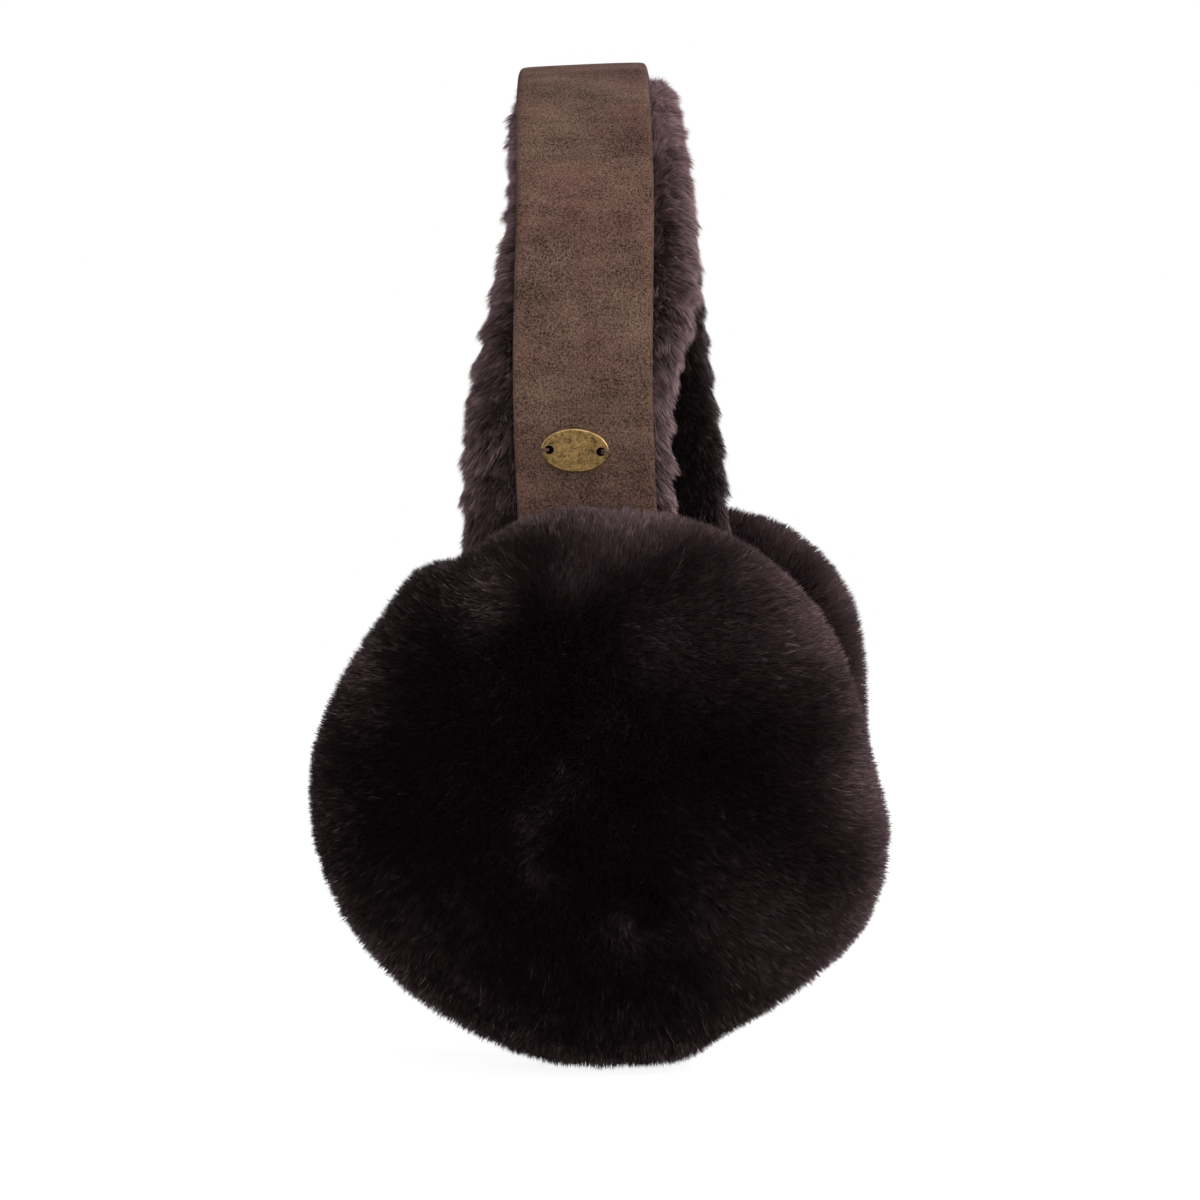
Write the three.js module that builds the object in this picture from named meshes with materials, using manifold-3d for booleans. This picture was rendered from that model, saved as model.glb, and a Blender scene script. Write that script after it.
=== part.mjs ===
// Fur earmuffs. A springy headband is faced with a suede strap and lined with
// sheepskin, and holds a round sheepskin pad at each end. A small oval brass
// tag is fixed to the strap just above the left pad.
//
// Millimetres, +Z up. The wearer faces -Y, so +X is the wearer's left. The pads
// stand on the plane z = 0, and the origin is the middle of the ground covered.

import * as THREE from "three";
import { mergeVertices } from "three/addons/utils/BufferGeometryUtils.js";
import Module from "manifold-3d";

const wasm = await Module();
wasm.setup();

// Ear pads, measured to the tips of the pile
const padRadius = 60.5;
const padOuterCrown = 25;
const padInnerCrown = 19;
const padSpacing = 148; // between the pads' middle planes, at their centres
const padTilt = 4; // degrees, with the feet nearer each other than the tops
const padRightTurn = 60; // degrees by which the right pad is turned in its plane
const padRimFullness = 0.78; // a power under 1 is fuller at the rim than an oval
const footPress = 1.6; // how far the pile is pressed flat where a pad stands
const padLockDepth = 0.7; // relief of the soft locks that the pile lies in
const padLockSlants = [9, -14]; // how far two crossing waves of locks slant
const padLockFewer = 0.6; // waves of the second kind for each of the first
const padLocksFrom = 0.25; // share of the radius at which the locks start
const padLocksFull = 0.9; // and at which they are at their deepest

// Headband
const overallHeight = 213.6;
const archRise = 76; // from the shoulders of the arch to its top
const armBow = 1.5; // how far the arms bow out past the pads' middle planes
const bandLean = 2.3; // degrees, forwards about the pads' centres
const rightDrift = 3.6; // the right pad lies this far behind the left one
const tuckDepth = 21; // how far the band reaches into the pads

// Suede strap on the outside of the band
const strapWidth = 28.6;
const strapThickness = 3.2;
const strapEdgeRadius = 1.5;
const strapSet = 3; // its face lies this far inside the pads' middle planes

// Sheepskin lining on the inside of the band
const liningWidth = 48;
const liningThickness = 14.5;
const liningTuckedThickness = 9; // where the pads hold it
const liningSwell = 1.4; // tuck depths from its foot to its full thickness
const liningFullness = 0.55; // a power under 1 makes its oval section fuller
const tuftLength = 1.7; // how far the locks stand out along its edges

// Brass tag
const tagWidth = 13.8;
const tagHeight = 9;
const tagThickness = 1.1;
const tagBevel = 0.3;
const tagHoleRadius = 0.85;
const tagHoleSpacing = 10.5;
const tagRise = 9.3; // its centre stands this far above the pads' tops
const tagTurn = 4.4; // degrees off square to the strap
const tagShift = -1.8; // off the strap's middle, towards the front

const clearance = 0.3; // between pieces that touch
const weldDistance = 1e-4; // corners nearer than this are one corner

const padHeight = padRadius - footPress; // of the pads' centres

// Resolution
const padSectors = 80;
const padRings = 17;
const padLocks = 25;
const bandStations = 96;
const liningSides = 18;
const strapStations = 48;
const strapCornerSteps = 2;
const tuftsAlongBand = 32;
const tagSides = 14;
const searchSteps = 30;

// The pad's outline seen from outside: the direction, from level towards the
// back of the head through its top, and the reach as a share of the radius.
const padOutline = [
  { degrees: 4, reach: 0.958 },
  { degrees: 17, reach: 0.939 },
  { degrees: 33, reach: 0.964 },
  { degrees: 48, reach: 0.981 },
  { degrees: 66, reach: 0.980 },
  { degrees: 86, reach: 0.974 },
  { degrees: 102, reach: 0.972 },
  { degrees: 114, reach: 0.944 },
  { degrees: 121, reach: 0.934 },
  { degrees: 129, reach: 0.985 },
  { degrees: 138, reach: 0.964 },
  { degrees: 151, reach: 0.963 },
  { degrees: 164, reach: 0.984 },
  { degrees: 177, reach: 1.007 },
  { degrees: 202, reach: 1.008 },
  { degrees: 222, reach: 0.997 },
  { degrees: 239, reach: 0.981 },
  { degrees: 257, reach: 0.99 },
  { degrees: 276, reach: 1.002 },
  { degrees: 287, reach: 1.01 },
  { degrees: 298, reach: 0.978 },
  { degrees: 316, reach: 0.999 },
  { degrees: 331, reach: 1.04 },
  { degrees: 344, reach: 1.03 },
  { degrees: 354, reach: 1.004 },
];

// Hollows and swells of the outer face. Where each lies, by direction and by
// share of the radius, its depth as a share of the face's rise there, which is
// less than nothing for a swell, and its spread as a share of the radius.
const padDents = [
  { name: "whorl", degrees: 119, out: 0.76, depth: 0.15, spread: 0.2 },
  { name: "parting", degrees: 290, out: 0.42, depth: 0.08, spread: 0.16 },
  { name: "ridge", degrees: 190, out: 0.16, depth: -0.07, spread: 0.2 },
  { name: "rim_fold", degrees: 12, out: 0.88, depth: 0.14, spread: 0.13 },
  { name: "lower_lobe", degrees: 335, out: 0.8, depth: -0.1, spread: 0.22 },
  { name: "lower_hollow", degrees: 232, out: 0.86, depth: 0.1, spread: 0.15 },
];

// The lining's reach to either side of the strap's middle, as shares of half
// its width, at shares of the way from the left pad to the right one.
const liningReach = [
  { along: 0, front: 1.14, back: 0.79 },
  { along: 0.07, front: 1.1, back: 0.76 },
  { along: 0.13, front: 1.02, back: 0.79 },
  { along: 0.18, front: 0.9, back: 0.97 },
  { along: 0.27, front: 0.73, back: 0.96 },
  { along: 0.38, front: 0.68, back: 0.9 },
  { along: 0.5, front: 0.64, back: 0.86 },
  { along: 0.62, front: 0.76, back: 0.83 },
  { along: 0.73, front: 0.9, back: 0.9 },
  { along: 0.82, front: 0.94, back: 0.95 },
  { along: 0.88, front: 0.92, back: 1.0 },
  { along: 0.94, front: 0.88, back: 1.07 },
  { along: 1, front: 0.88, back: 1.08 },
];

// How far the band strays towards the back of the head as it goes over it, as
// shares of the right pad's drift.
const bandSway = [
  { along: 0, drift: -0.08 },
  { along: 0.12, drift: -0.05 },
  { along: 0.27, drift: 0.4 },
  { along: 0.4, drift: 0.18 },
  { along: 0.5, drift: 0 },
  { along: 0.62, drift: 0.25 },
  { along: 0.78, drift: 0.75 },
  { along: 0.9, drift: 0.97 },
  { along: 1, drift: 1 },
];

const radians = THREE.MathUtils.degToRad;
const smooth = THREE.MathUtils.smoothstep;

// A smooth curve through one column of a table, to be read at any place in its
// first column. A table that goes round repeats after a whole turn.
function tableCurve(rows, key, column, turn = 0) {
  const shifted = (row, by) => ({ [key]: row[key] + by, [column]: row[column] });
  const before = turn ? [shifted(rows.at(-1), -turn)] : [];
  const after = turn ? rows.slice(0, 2).map((row) => shifted(row, turn)) : [];
  const all = [...before, ...rows, ...after];
  const curve = new THREE.CubicInterpolant(
    Float32Array.from(all, (row) => row[key]),
    Float32Array.from(all, (row) => row[column]),
    1,
  );
  return (place) => {
    const at = turn ? THREE.MathUtils.euclideanModulo(place, turn) : place;
    return curve.evaluate(at)[0];
  };
}

const padEdge = tableCurve(padOutline, "degrees", "reach", 360);
const liningFront = tableCurve(liningReach, "along", "front");
const liningBack = tableCurve(liningReach, "along", "back");
const swayAt = tableCurve(bandSway, "along", "drift");

// A closed solid through rings of points, all with as many points. A ring that
// is a single point closes that end, and any other end is capped.
function loft(rings) {
  const positions = [];
  const starts = rings.map((ring) => {
    const start = positions.length / 3;
    ring.forEach((point) => positions.push(point.x, point.y, point.z));
    return start;
  });
  const index = [];
  const sides = Math.max(...rings.map((ring) => ring.length));
  const corner = (i, k) => starts[i] + (rings[i].length > 1 ? k % sides : 0);
  for (let i = 1; i < rings.length; i += 1) {
    for (let k = 0; k < sides; k += 1) {
      const [a, b] = [corner(i - 1, k), corner(i - 1, k + 1)];
      const [c, d] = [corner(i, k), corner(i, k + 1)];
      if (a !== b) index.push(a, b, c);
      if (c !== d) index.push(b, d, c);
    }
  }
  const cap = (i, facingBack) => {
    if (rings[i].length < 2) return;
    const middle = positions.length / 3;
    const centre = new THREE.Vector3();
    rings[i].forEach((point) => centre.add(point));
    centre.divideScalar(sides);
    positions.push(centre.x, centre.y, centre.z);
    for (let k = 0; k < sides; k += 1) {
      const [a, b] = [corner(i, k), corner(i, k + 1)];
      index.push(middle, facingBack ? b : a, facingBack ? a : b);
    }
  };
  cap(0, true);
  cap(rings.length - 1, false);
  const geometry = new THREE.BufferGeometry();
  geometry.setAttribute(
    "position",
    new THREE.Float32BufferAttribute(positions, 3),
  );
  geometry.setIndex(index);
  geometry.computeVertexNormals();
  return geometry;
}

function solidFrom(geometry) {
  const bare = new THREE.BufferGeometry();
  bare.setAttribute("position", geometry.getAttribute("position"));
  if (geometry.index) bare.setIndex(geometry.index);
  const merged = mergeVertices(bare, weldDistance);
  return new wasm.Manifold(
    new wasm.Mesh({
      numProp: 3,
      vertProperties: Float32Array.from(merged.attributes.position.array),
      triVerts: Uint32Array.from(merged.index.array),
    }),
  );
}

function geometryFrom(solid) {
  const { vertProperties, triVerts } = solid.getMesh();
  const geometry = new THREE.BufferGeometry();
  geometry.setAttribute(
    "position",
    new THREE.BufferAttribute(vertProperties, 3),
  );
  geometry.setIndex(new THREE.BufferAttribute(triVerts, 1));
  geometry.computeVertexNormals();
  return geometry;
}

// Where a pad stands. Its own X axis points away from the head.
function padPlace(side) {
  const place = new THREE.Object3D();
  const drift = side < 0 ? rightDrift : 0;
  place.position.set((side * padSpacing) / 2, drift, padHeight);
  place.rotation.set(0, side * radians(padTilt), 0);
  place.updateMatrix();
  return place;
}

// How far the tilt carries a pad's top edge away from the head.
function topLean() {
  return Math.sin(radians(padTilt)) * padRadius;
}

// The line of the strap's outer face, in X and Z, from inside the left pad over
// the head to inside the right one.
function bandLine() {
  const tuck = new THREE.Vector3(-strapSet, 0, padRadius - tuckDepth);
  const foot = tuck.applyMatrix4(padPlace(1).matrix);
  const shoulder = overallHeight - archRise;
  const breadth = padSpacing / 2 + armBow + topLean();
  const pull = (shoulder - foot.z) / 3;
  const lean = Math.tan(radians(padTilt)) * pull;
  const path = new THREE.Path();
  path.moveTo(foot.x, foot.z);
  path.bezierCurveTo(
    foot.x + lean,
    foot.z + pull,
    breadth,
    shoulder - pull,
    breadth,
    shoulder,
  );
  path.absellipse(0, shoulder, breadth, archRise, 0, Math.PI, false, 0);
  path.bezierCurveTo(
    -breadth,
    shoulder - pull,
    -foot.x - lean,
    foot.z + pull,
    -foot.x,
    foot.z,
  );
  return path;
}

const line = bandLine();
const lineLength = line.getLength();

// Lays a section on the band. Across runs along +Y, and deep is measured from
// the strap's outer face towards the head.
function onBand(along, section, overrun = 0) {
  const at = THREE.MathUtils.clamp(along, 0, 1);
  const point = line.getPointAt(at);
  const ahead = line.getTangentAt(at);
  const drift = rightDrift * swayAt(at);
  point.addScaledVector(ahead, overrun);
  return section.map(
    ({ across, deep }) =>
      new THREE.Vector3(
        point.x - ahead.y * deep,
        across + drift,
        point.y + ahead.x * deep,
      ),
  );
}

// A strip that follows the whole band. With a margin it is the space that the
// strip needs, larger all round.
function sweep(stations, sectionAt, margin = 0) {
  const rings = [];
  for (let i = 0; i <= stations; i += 1) {
    const along = i / stations;
    rings.push(onBand(along, sectionAt(along, margin)));
  }
  if (margin > 0) {
    rings.unshift(onBand(0, sectionAt(0, margin), -margin));
    rings.push(onBand(1, sectionAt(1, margin), margin));
  }
  return loft(rings);
}

// The strap is one flat strip with its edges turned under.
function strapSection(along, margin) {
  const half = strapWidth / 2 + margin;
  const corners = [
    { across: half, deep: -margin, start: -90 },
    { across: half, deep: strapThickness + margin, start: 0 },
    { across: -half, deep: strapThickness + margin, start: 90 },
    { across: -half, deep: -margin, start: 180 },
  ];
  const section = [];
  for (const corner of corners) {
    const inX = corner.across - Math.sign(corner.across) * strapEdgeRadius;
    const outer = corner.deep < strapThickness / 2;
    const inY = corner.deep + (outer ? 1 : -1) * strapEdgeRadius;
    for (let step = 0; step <= strapCornerSteps; step += 1) {
      const turn = radians(corner.start + (90 * step) / strapCornerSteps);
      section.push({
        across: inX + strapEdgeRadius * Math.cos(turn),
        deep: inY + strapEdgeRadius * Math.sin(turn),
      });
    }
  }
  return section;
}

// How far a lock stands out at a place along an edge. Locks lie towards the
// nearer pad, one over the next, so each grows and then steps back.
function tuft(along, offset) {
  const half = Math.abs(along - 0.5) * tuftsAlongBand + offset;
  return tuftLength * (half - Math.floor(half) - 0.5);
}

// The lining is a plump strip of pile, thinner where the pads hold it.
function liningSection(along, margin) {
  const tuckShare = tuckDepth / lineLength;
  const fromFoot = Math.min(along, 1 - along) / tuckShare;
  const open = smooth(fromFoot, 0, liningSwell);
  const thickness = THREE.MathUtils.lerp(
    liningTuckedThickness,
    liningThickness,
    open,
  );
  const top = strapThickness + clearance - margin;
  const halfDeep = thickness / 2 + margin;
  const fuller = (value) =>
    Math.sign(value) * Math.abs(value) ** liningFullness;
  const section = [];
  for (let k = 0; k < liningSides; k += 1) {
    const turn = (k / liningSides) * 2 * Math.PI;
    const back = Math.cos(turn) > 0;
    const share = back ? liningBack(along) : liningFront(along);
    const edge = tuft(along, back ? 0 : 0.5) * Math.cos(turn) ** 2;
    const reach = (share * liningWidth) / 2 + edge + margin;
    section.push({
      across: reach * fuller(Math.cos(turn)),
      deep: top + halfDeep + halfDeep * fuller(Math.sin(turn)),
    });
  }
  return section;
}

// The relief of a pad's pile, in soft locks that cross each other.
function padLocksAt(turn, out, slope) {
  const [first, second] = padLockSlants;
  const along = Math.cos(padLocks * turn + first * slope);
  const across = Math.cos(padLockFewer * padLocks * turn + second * slope);
  const growth = smooth(out, padLocksFrom, padLocksFull);
  return 0.5 * padLockDepth * along * across * growth;
}

// How full the outer face is, after its hollows and swells.
function padFullness(turn, out) {
  let fullness = 1;
  for (const dent of padDents) {
    const there = radians(dent.degrees);
    const dy = out * Math.cos(turn) - dent.out * Math.cos(there);
    const dz = out * Math.sin(turn) - dent.out * Math.sin(there);
    const near = Math.exp(-(dy * dy + dz * dz) / dent.spread ** 2);
    fullness -= dent.depth * near;
  }
  return fullness;
}

// One pad in its own frame, a plump round cushion with its outer face to +X on
// the left and to -X on the right. The right one is turned in its plane.
function padForm(side) {
  const pointAt = (row, sector) => {
    const slope = (row / padRings) * Math.PI;
    const turn = (sector / padSectors) * 2 * Math.PI;
    const atRim = padEdge(THREE.MathUtils.radToDeg(turn));
    const out = Math.sin(slope) ** padRimFullness;
    const edge = THREE.MathUtils.lerp(1, atRim, smooth(out, 0, 1));
    const outerFace = Math.cos(slope) > 0;
    const crown = outerFace ? padOuterCrown : padInnerCrown;
    const full = outerFace ? padFullness(turn, out) : 1;
    const rise = Math.cos(slope) * full;
    const relief = padLocksAt(turn, out, slope);
    const steep = new THREE.Vector2(rise / crown, out / padRadius).normalize();
    const reach = padRadius * edge * out + relief * steep.y;
    const clock = turn + (side < 0 ? radians(padRightTurn) : 0);
    return new THREE.Vector3(
      side * (crown * rise + relief * steep.x),
      reach * Math.cos(clock),
      reach * Math.sin(clock),
    );
  };
  const rings = [];
  for (let row = 0; row <= padRings; row += 1) {
    const pole = row === 0 || row === padRings;
    const count = pole ? 1 : padSectors;
    const ring = Array.from({ length: count }, (_, k) => pointAt(row, k));
    if (side > 0) ring.reverse();
    rings.push(ring);
  }
  return loft(rings);
}

const materials = {
  pile: new THREE.MeshStandardMaterial({
    name: "dark_pile",
    color: 0x2a1f21,
    roughness: 0.95,
  }),
  bandPile: new THREE.MeshStandardMaterial({
    name: "band_pile",
    color: 0x45383b,
    roughness: 0.95,
  }),
  suede: new THREE.MeshStandardMaterial({
    name: "suede",
    color: 0x61493d,
    roughness: 0.9,
  }),
  brass: new THREE.MeshStandardMaterial({
    name: "aged_brass",
    color: 0x7d6a3a,
    roughness: 0.45,
    metalness: 1,
  }),
};

function mesh(name, geometry, material) {
  const made = new THREE.Mesh(geometry, material);
  made.name = name;
  return made;
}

// Everything under the plane that the pads stand on.
function underFloor() {
  const breadth = 2 * (padSpacing + padRadius);
  const block = new THREE.BoxGeometry(breadth, breadth, padRadius);
  return block.translate(0, 0, -padRadius / 2);
}

// A pad with its pile pressed flat where it stands and pockets for the band.
function earPad(name, side, cuts) {
  const place = padPlace(side);
  const toPad = place.matrix.clone().invert();
  let solid = solidFrom(padForm(side));
  for (const cut of cuts) {
    solid = solid.subtract(solidFrom(cut.clone().applyMatrix4(toPad)));
  }
  const made = mesh(name, geometryFrom(solid), materials.pile);
  made.position.copy(place.position);
  made.rotation.copy(place.rotation);
  return made;
}

// The oval tag, flat in its own XY plane with its back at z = 0.
function tagForm() {
  const inset = tagBevel;
  const outline = new THREE.Shape();
  outline.absellipse(
    0,
    0,
    tagWidth / 2 - inset,
    tagHeight / 2 - inset,
    0,
    2 * Math.PI,
    false,
    0,
  );
  for (const end of [-1, 1]) {
    const hole = new THREE.Path();
    const middle = (end * tagHoleSpacing) / 2;
    const radius = tagHoleRadius + inset;
    hole.absellipse(middle, 0, radius, radius, 0, 2 * Math.PI, true, 0);
    outline.holes.push(hole);
  }
  const form = new THREE.ExtrudeGeometry(outline, {
    depth: tagThickness - 2 * tagBevel,
    bevelThickness: tagBevel,
    bevelSize: tagBevel,
    bevelSegments: 1,
    curveSegments: tagSides,
  });
  return form.translate(0, 0, tagBevel);
}

// Where the tag lies: its share of the band, found by its height on the arm.
function tagAlong() {
  const height = 2 * padRadius - footPress + tagRise;
  let [low, high] = [0, 0.5];
  for (let step = 0; step < searchSteps; step += 1) {
    const middle = (low + high) / 2;
    if (line.getPointAt(middle).y < height) low = middle;
    else high = middle;
  }
  return low;
}

function brassTag() {
  const made = mesh("brass_tag", tagForm(), materials.brass);
  const along = tagAlong();
  const ahead = line.getTangentAt(along);
  const seat = onBand(along, [{ across: tagShift, deep: -clearance }])[0];
  const outward = new THREE.Vector3(ahead.y, 0, -ahead.x);
  const across = new THREE.Vector3(0, 1, 0);
  across.applyAxisAngle(outward, -radians(tagTurn));
  const up = new THREE.Vector3().crossVectors(outward, across);
  made.position.copy(seat);
  made.quaternion.setFromRotationMatrix(
    new THREE.Matrix4().makeBasis(across, up, outward),
  );
  return made;
}

// The headband leans about the line through the pads' centres.
const lean = new THREE.Matrix4()
  .makeTranslation(0, 0, padHeight)
  .multiply(new THREE.Matrix4().makeRotationX(radians(bandLean)))
  .multiply(new THREE.Matrix4().makeTranslation(0, 0, -padHeight));

const headband = new THREE.Group();
headband.applyMatrix4(lean);
headband.add(
  mesh("suede_strap", sweep(strapStations, strapSection), materials.suede),
  mesh("fur_lining", sweep(bandStations, liningSection), materials.bandPile),
  brassTag(),
);

const cuts = [
  sweep(strapStations, strapSection, clearance).applyMatrix4(lean),
  sweep(bandStations, liningSection, clearance).applyMatrix4(lean),
  underFloor(),
];

const earmuffs = new THREE.Group();
earmuffs.add(
  headband,
  earPad("ear_pad_left", 1, cuts),
  earPad("ear_pad_right", -1, cuts),
);

const middle = new THREE.Box3().setFromObject(earmuffs, true).getCenter(
  new THREE.Vector3(),
);
earmuffs.position.set(-middle.x, -middle.y, 0);

export default earmuffs;
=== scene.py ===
"""Dresses the fur earmuffs: sheared pile, brushed suede, an aged brass tag and a
plain studio. Metres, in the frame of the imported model."""

import math

import bmesh
import bpy
import numpy as np
from mathutils import Matrix, Vector
from mathutils.bvhtree import BVHTree
from mathutils.kdtree import KDTree


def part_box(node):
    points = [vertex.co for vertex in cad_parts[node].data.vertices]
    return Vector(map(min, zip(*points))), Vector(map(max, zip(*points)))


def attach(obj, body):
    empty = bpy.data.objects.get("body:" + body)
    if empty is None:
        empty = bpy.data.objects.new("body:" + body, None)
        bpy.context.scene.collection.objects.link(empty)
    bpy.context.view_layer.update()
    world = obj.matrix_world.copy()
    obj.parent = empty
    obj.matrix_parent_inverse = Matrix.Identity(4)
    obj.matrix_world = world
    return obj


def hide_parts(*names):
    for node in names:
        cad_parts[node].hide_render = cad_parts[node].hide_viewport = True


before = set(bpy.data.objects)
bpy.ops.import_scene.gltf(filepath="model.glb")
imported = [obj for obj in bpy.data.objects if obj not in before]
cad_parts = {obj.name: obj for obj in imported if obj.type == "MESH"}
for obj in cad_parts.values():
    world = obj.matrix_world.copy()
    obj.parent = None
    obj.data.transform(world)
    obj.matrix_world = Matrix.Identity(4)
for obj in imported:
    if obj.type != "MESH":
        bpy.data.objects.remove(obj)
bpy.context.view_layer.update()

bl_info = {
    "name": "Fur Earmuffs",
    "version": (1, 0, 0),
    "blender": (4, 5, 0),
    "location": "3D View > Sidebar > Earmuffs",
    "description": "Dresses the earmuffs with pile, suede, a brass tag and a studio",
    "category": "Object",
}

MM = 0.001
# Vertices this close together are joined
MERGE_DISTANCE = 0.001 * MM


def middle_of(node):
    """The middle of a CAD node's box."""
    low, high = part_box(node)
    return (Vector(low) + Vector(high)) / 2


# The photograph's frame and focal length in pixels, the width of the camera's sensor
# in mm and the point that the camera faces
PHOTO_PIXELS = 1200
PHOTO_FOCAL_PIXELS = 3330
SENSOR = 36
CAMERA_TARGET = Vector((0, -3.7, 92.5)) * MM

# How the pile lies on the pads' outer faces, as seen on the near pad. Across is
# towards the back of the head and up is up, both in mm from the pad's middle, and
# a spot fades out over its spread, also in mm. Fan leans the pile away from the
# spot and whorl turns it anticlockwise round the spot. Comb is a direction in
# degrees anticlockwise from across, and lean is how far the pile leans that way.
# Glow is painted light that lightens it, and painted shade that darkens it where it is below zero.
NAP_COLUMNS = ("across", "up", "spread", "fan", "whorl", "comb", "lean", "glow")
NAP_TABLE = {
    "crown": (5, 56, 12, 0, 0, 85, 0.5, 0.5),
    "parting_left": (-20, 40, 8, 0.6, 0.3, 195, 0.8, 0.22),
    # A dark crease of painted shade between the two partings
    "painted_shade_crease": (-13, 40, 3, 0, 0, 0, 0, -0.22),
    "parting_right": (-6, 45, 7, 0, 0, 40, 0.45, 0.3),
    "upper_right": (32, 35, 19, 0, 0, -15, 0.6, 0.24),
    "upper_middle": (12, 32, 11, 0, 0, -25, 0.4, 0.22),
    "upper_rim": (45, 35, 10, 0, 0, 30, 0.2, 0.28),
    "left_flank": (-50, 26, 10, 0, 0, 195, 0.4, 0.15),
    "ridge_top": (1, 13, 5.5, 0, 0, 225, 0.32, 0.05),
    "ridge_middle": (-6, 5, 5.5, 0, 0, 222, 0.32, 0.06),
    "ridge_foot": (-13, -4, 5.5, 0, 0, 215, 0.36, 0.07),
    "small_tuft": (-10, -13, 5, 0.9, 0.5, 0, 0.1, 0.05),
    "low_curl": (9, -25, 5, 0.9, 1.2, 160, 0.15, 0.07),
    "right_flank": (57, 4, 14, 0, 0, -8, 0.5, 0.46),
    "middle_right": (22, -10, 12, 0, 0, -8, 0.3, 0),
    "lower_right": (34, -26, 16, 0, 0, -12, 0.75, 0.22),
    "lower_left": (-42, -33, 12, 0, 0, 250, 0.35, -0.05),
}
NAP_SPOTS = [dict(zip(NAP_COLUMNS, row)) for row in NAP_TABLE.values()]

# The pile on the pads. A full coat has this many locks, and a thinner one has
# wider locks in smaller tufts. The inner faces lie calmer and are lightened by painted light.
FULL_COAT = 165_000
PAD_COATS = (
    {"side": "left", "face": "outer", "coat": "undercoat", "locks": FULL_COAT, "long": 0.9},
    {"side": "left", "face": "outer", "coat": "topcoat", "locks": FULL_COAT, "long": 1.0},
    {"side": "left", "face": "inner", "coat": "pile", "locks": 65_000, "long": 1.0},
    {"side": "right", "face": "outer", "coat": "pile", "locks": 100_000, "long": 1.0},
    {"side": "right", "face": "inner", "coat": "pile", "locks": 115_000, "long": 1.0},
)
PAD_FACES = {
    "outer": {"way": 1, "spots": NAP_SPOTS, "calm": 1, "glow": 0},
    "inner": {"way": -1, "spots": (), "calm": 0.5, "glow": 0.35},
}
PAD_LOCKS = {"tuft": 12, "stray": 0.16, "gather": 0.3, "proud": -0.3 * MM, "ragged": 0.15 * MM}
PAD_SLACK = 0.12
# Strength and wavelength of each way in which the pads' pile sways
PAD_SWAY = ((0.1, 20 * MM), (0.07, 5 * MM))
# A pad's pile stays off what another piece covers within this reach
PAD_REACH = 25 * MM
# How the pads' pile leans out, more and more towards the rim
RIM_LEAN = 0.25
RIM_LEAN_POWER = 6
# The rim's painted highlight. It is brightest at the turn, in degrees anticlockwise from across:
# by the first share a quarter round from there, and by both shares at the turn itself.
RIM_PAINTED_LIGHT = {"left": {"glow": 0.6, "power": 10}, "right": {"glow": 0.4, "power": 4}}
RIM_TURN = 15
RIM_QUARTER_SHARE, RIM_TURN_SHARE = 0.35, 0.65

# The pile on the lining's halves
LINING_HALVES = (
    {"side": "left", "sign": 1, "locks": 195_000, "wide": 0.95, "tuft": 30, "ragged": 1.0 * MM},
    {"side": "right", "sign": -1, "locks": 130_000, "wide": 1.2, "tuft": 16, "ragged": 0.3 * MM},
)
LINING_LOCKS = {"stray": 0.12, "gather": 0.16, "proud": 0.2 * MM}
LINING_SLACK = 0.12
LINING_SWAY = ((0.14, 16 * MM), (0.08, 6 * MM))
# The lining's pile stays off what another piece covers within this reach, and under
# the strap it reaches up to the leather from this far
LINING_REACH = 1.5 * MM
BACKING_REACH = 4 * MM
LINING_FIRST_SEED = 20
# How far the lining's pile leans down on its faces, and how much more on its edges
LINING_DROP, LINING_EDGE_DROP = 0.3, 0.8
# The left arm, this far from the middle, sways in full and the right arm least
ARM_DISTANCE = 50 * MM
CALM_MIDDLE, CALM_CHANGE = 0.7, 0.3
# Painted shade that the lining's tone loses on the right arm, and painted light that it gains at the back and
# upwards
RIGHT_ARM_PAINTED_SHADE, BACK_PAINTED_LIGHT, HIGH_PAINTED_LIGHT = 0.18, 0.025, 0.033
PAINTED_LIGHT_HEIGHT, PAINTED_LIGHT_RISE = 158 * MM, 25 * MM
# The lining's roots and skin, dark as painted shade deep in the pile, as a share of its tips' colour
LINING_ROOT_SHARE = 0.08

# How locks differ from one another
LOCK_LENGTHS = (0.8, 1.15)
TIP_SCATTER = 0.35 * MM
RAGGED_WAVE = 6 * MM
# Upright pile strays and gathers by the first share, and pile that leans by up to
# the second share more
UPRIGHT_LAID, MOST_LAID = 0.3, 0.5

# A lock's usual place on the tone map, where its tip has the colour of the settings.
# A lock twice as far along the map is four times as light.
USUAL_TONE = 0.24
# How far locks and whole tufts stray from it
LOCK_TONE, TUFT_TONE = 0.05, 0.03
TONE_RANGE = (0.03, 0.97)
# Half of a lock's width on the map
TONE_EDGE = 0.02
# From root to tip on the map, a lock starts at a share of its glow, its painted light, and ends at one place
FOOT_SHARE = 1.1
FOOT_RANGE = (0.01, 0.95)
TIP_PLACE = 0.99

# The studio's lights, whose power is in the settings
LIGHTS = (
    {"name": "top_light", "place": (0.8, 0, 1.5), "size": 1.8},
    {"name": "key_light", "place": (0.25, 1.2, 0.8), "size": 0.7},
    {"name": "side_light", "place": (0.2, -1.3, 0.6), "size": 0.7},
    {"name": "back_light", "place": (-1.3, 0.5, 0.9), "size": 0.9},
    {"name": "front_light", "place": (1.6, 0.1, 0.15), "size": 0.7},
)
FLOOR_RADIUS = 0.75
FLOOR_GREY = 0.25


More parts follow.
